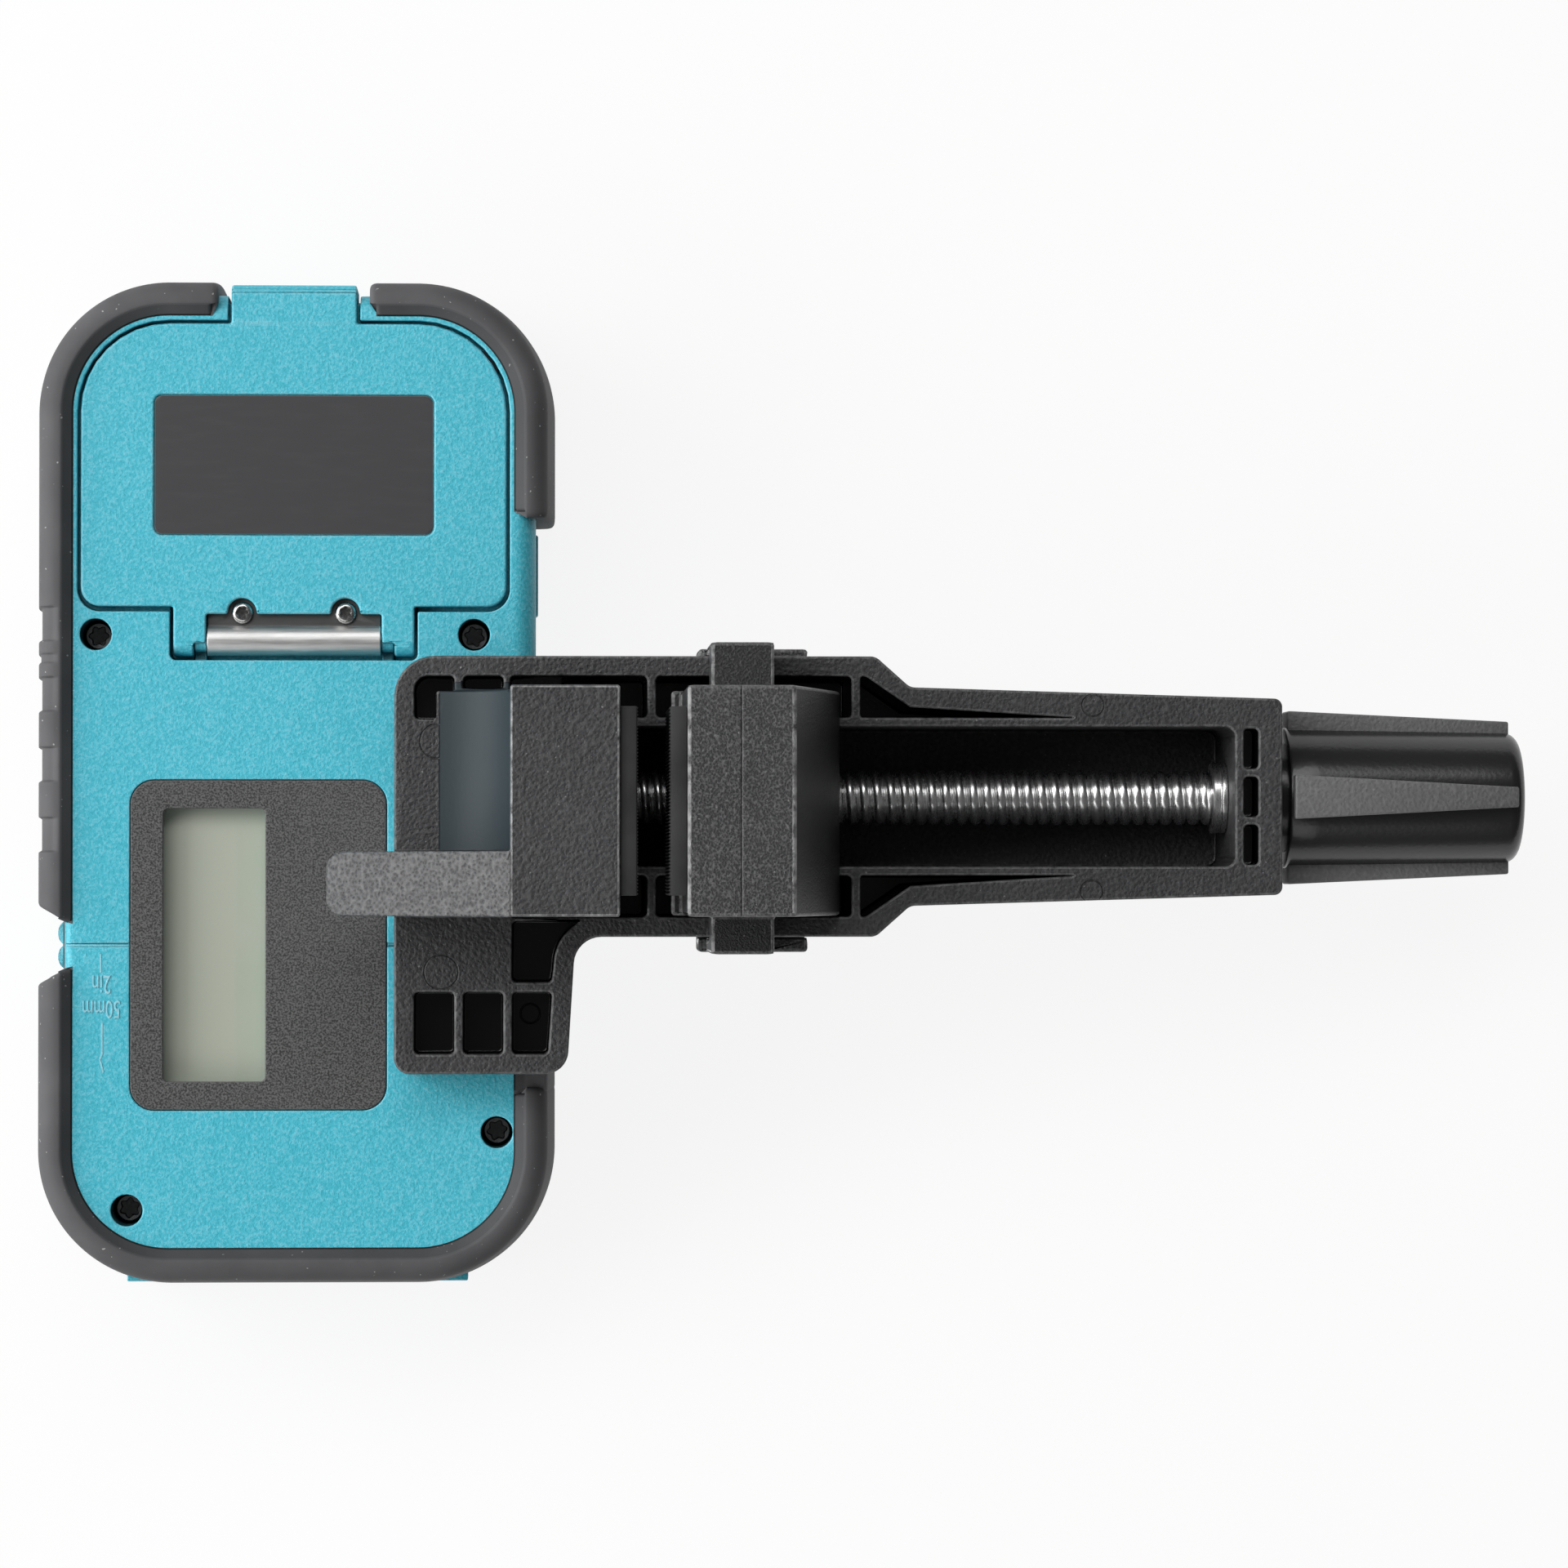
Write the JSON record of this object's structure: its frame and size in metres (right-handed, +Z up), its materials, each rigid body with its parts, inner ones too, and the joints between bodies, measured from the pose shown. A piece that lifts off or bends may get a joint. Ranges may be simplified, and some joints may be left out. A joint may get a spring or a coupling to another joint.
{
  "type": "laser receiver with rod clamp",
  "caption": "Hand-held laser receiver in a rubber-edged case with a hinged battery door, rear display and front keys, on a rod clamp with a screw-driven jaw.",
  "frame": {"origin": "middle of the whole object's outline, on the surface that it lies on with its front down", "axes": "+Z up out of the rear face, +X from the receiver toward the clamp knob, +Y toward the battery end"},
  "size_m": [0.2182, 0.1476, 0.07],
  "materials": {
    "teal_plastic": "fine spark-eroded grain",
    "bumper_rubber": "matte",
    "clamp_plastic": "coarse moulded grain",
    "dark_panel": "fine grain",
    "key_plastic": "satin",
    "steel": "bright",
    "black_steel": "black oxide",
    "brass": "machined",
    "board": "solder mask",
    "lcd": "satin polariser",
    "beam_window": "dark tinted",
    "black_part": "matte",
    "battery_can": "satin"
  },
  "bodies": {
    "receiver": {"front_case": "teal_plastic", "rear_case": "teal_plastic", "case_gasket": "bumper_rubber", "case_screws": "black_steel", "bumper_upper_left": "bumper_rubber", "bumper_upper_right": "bumper_rubber", "bumper_lower": "bumper_rubber", "door_seal": "bumper_rubber", "hinge_pin": "steel", "rear_panel": "dark_panel", "rear_lcd": "lcd", "lcd_frame": "black_part", "front_panel": "dark_panel", "front_lcd": "lcd", "sensor_window": "beam_window", "photodiodes": "black_part", "sensor_board": "board", "main_board": "board", "buzzer": "black_part", "key_switches": "black_part", "battery": "battery_can", "battery_contacts": "black_part"},
    "door": {"battery_door": "teal_plastic", "label_plate": "dark_panel", "hinge_leaf": "steel", "hinge_screws": "steel"},
    "power_key": {"key_power": "key_plastic"},
    "sound_key": {"key_sound": "key_plastic"},
    "accuracy_key": {"key_accuracy": "key_plastic"},
    "clamp": {"clamp_bracket": "clamp_plastic", "fixed_pad": "bumper_rubber", "thrust_washer": "steel"},
    "jaw": {"moving_jaw": "clamp_plastic", "moving_pad": "bumper_rubber", "lead_nut": "brass"},
    "knob": {"clamp_knob": "clamp_plastic", "lead_screw": "steel"}
  },
  "joints": [
    {"name": "door_hinge", "type": "hinge", "parent": "receiver", "child": "door", "pos_m": [-0.07107, 0.0206, 0.02765], "axis": [1, 0, 0], "range_deg": [0, 85]},
    {"name": "power_press", "type": "slide", "parent": "receiver", "child": "power_key", "axis": [0, 0, 1], "range_m": [0, 0.0006], "stiffness_N_per_m": 800},
    {"name": "sound_press", "type": "slide", "parent": "receiver", "child": "sound_key", "axis": [0, 0, 1], "range_m": [0, 0.0006], "stiffness_N_per_m": 800},
    {"name": "accuracy_press", "type": "slide", "parent": "receiver", "child": "accuracy_key", "axis": [0, 0, 1], "range_m": [0, 0.0006], "stiffness_N_per_m": 800},
    {"name": "clamp_slide", "type": "slide", "parent": "receiver", "child": "clamp", "axis": [1, 0, 0], "range_m": [0, 0.03]},
    {"name": "knob_turn", "type": "hinge", "parent": "clamp", "child": "knob", "pos_m": [-0.07107, -0.0023, 0.027], "axis": [1, 0, 0], "range_deg": [-690, 9720]},
    {"name": "jaw_slide", "type": "slide", "parent": "clamp", "child": "jaw", "axis": [1, 0, 0], "range_m": [-0.0038, 0.0539]}
  ],
  "couplings": [
    {"joint": "knob_turn", "follows": "jaw_slide", "rad_per_m": 3141.6}
  ]
}
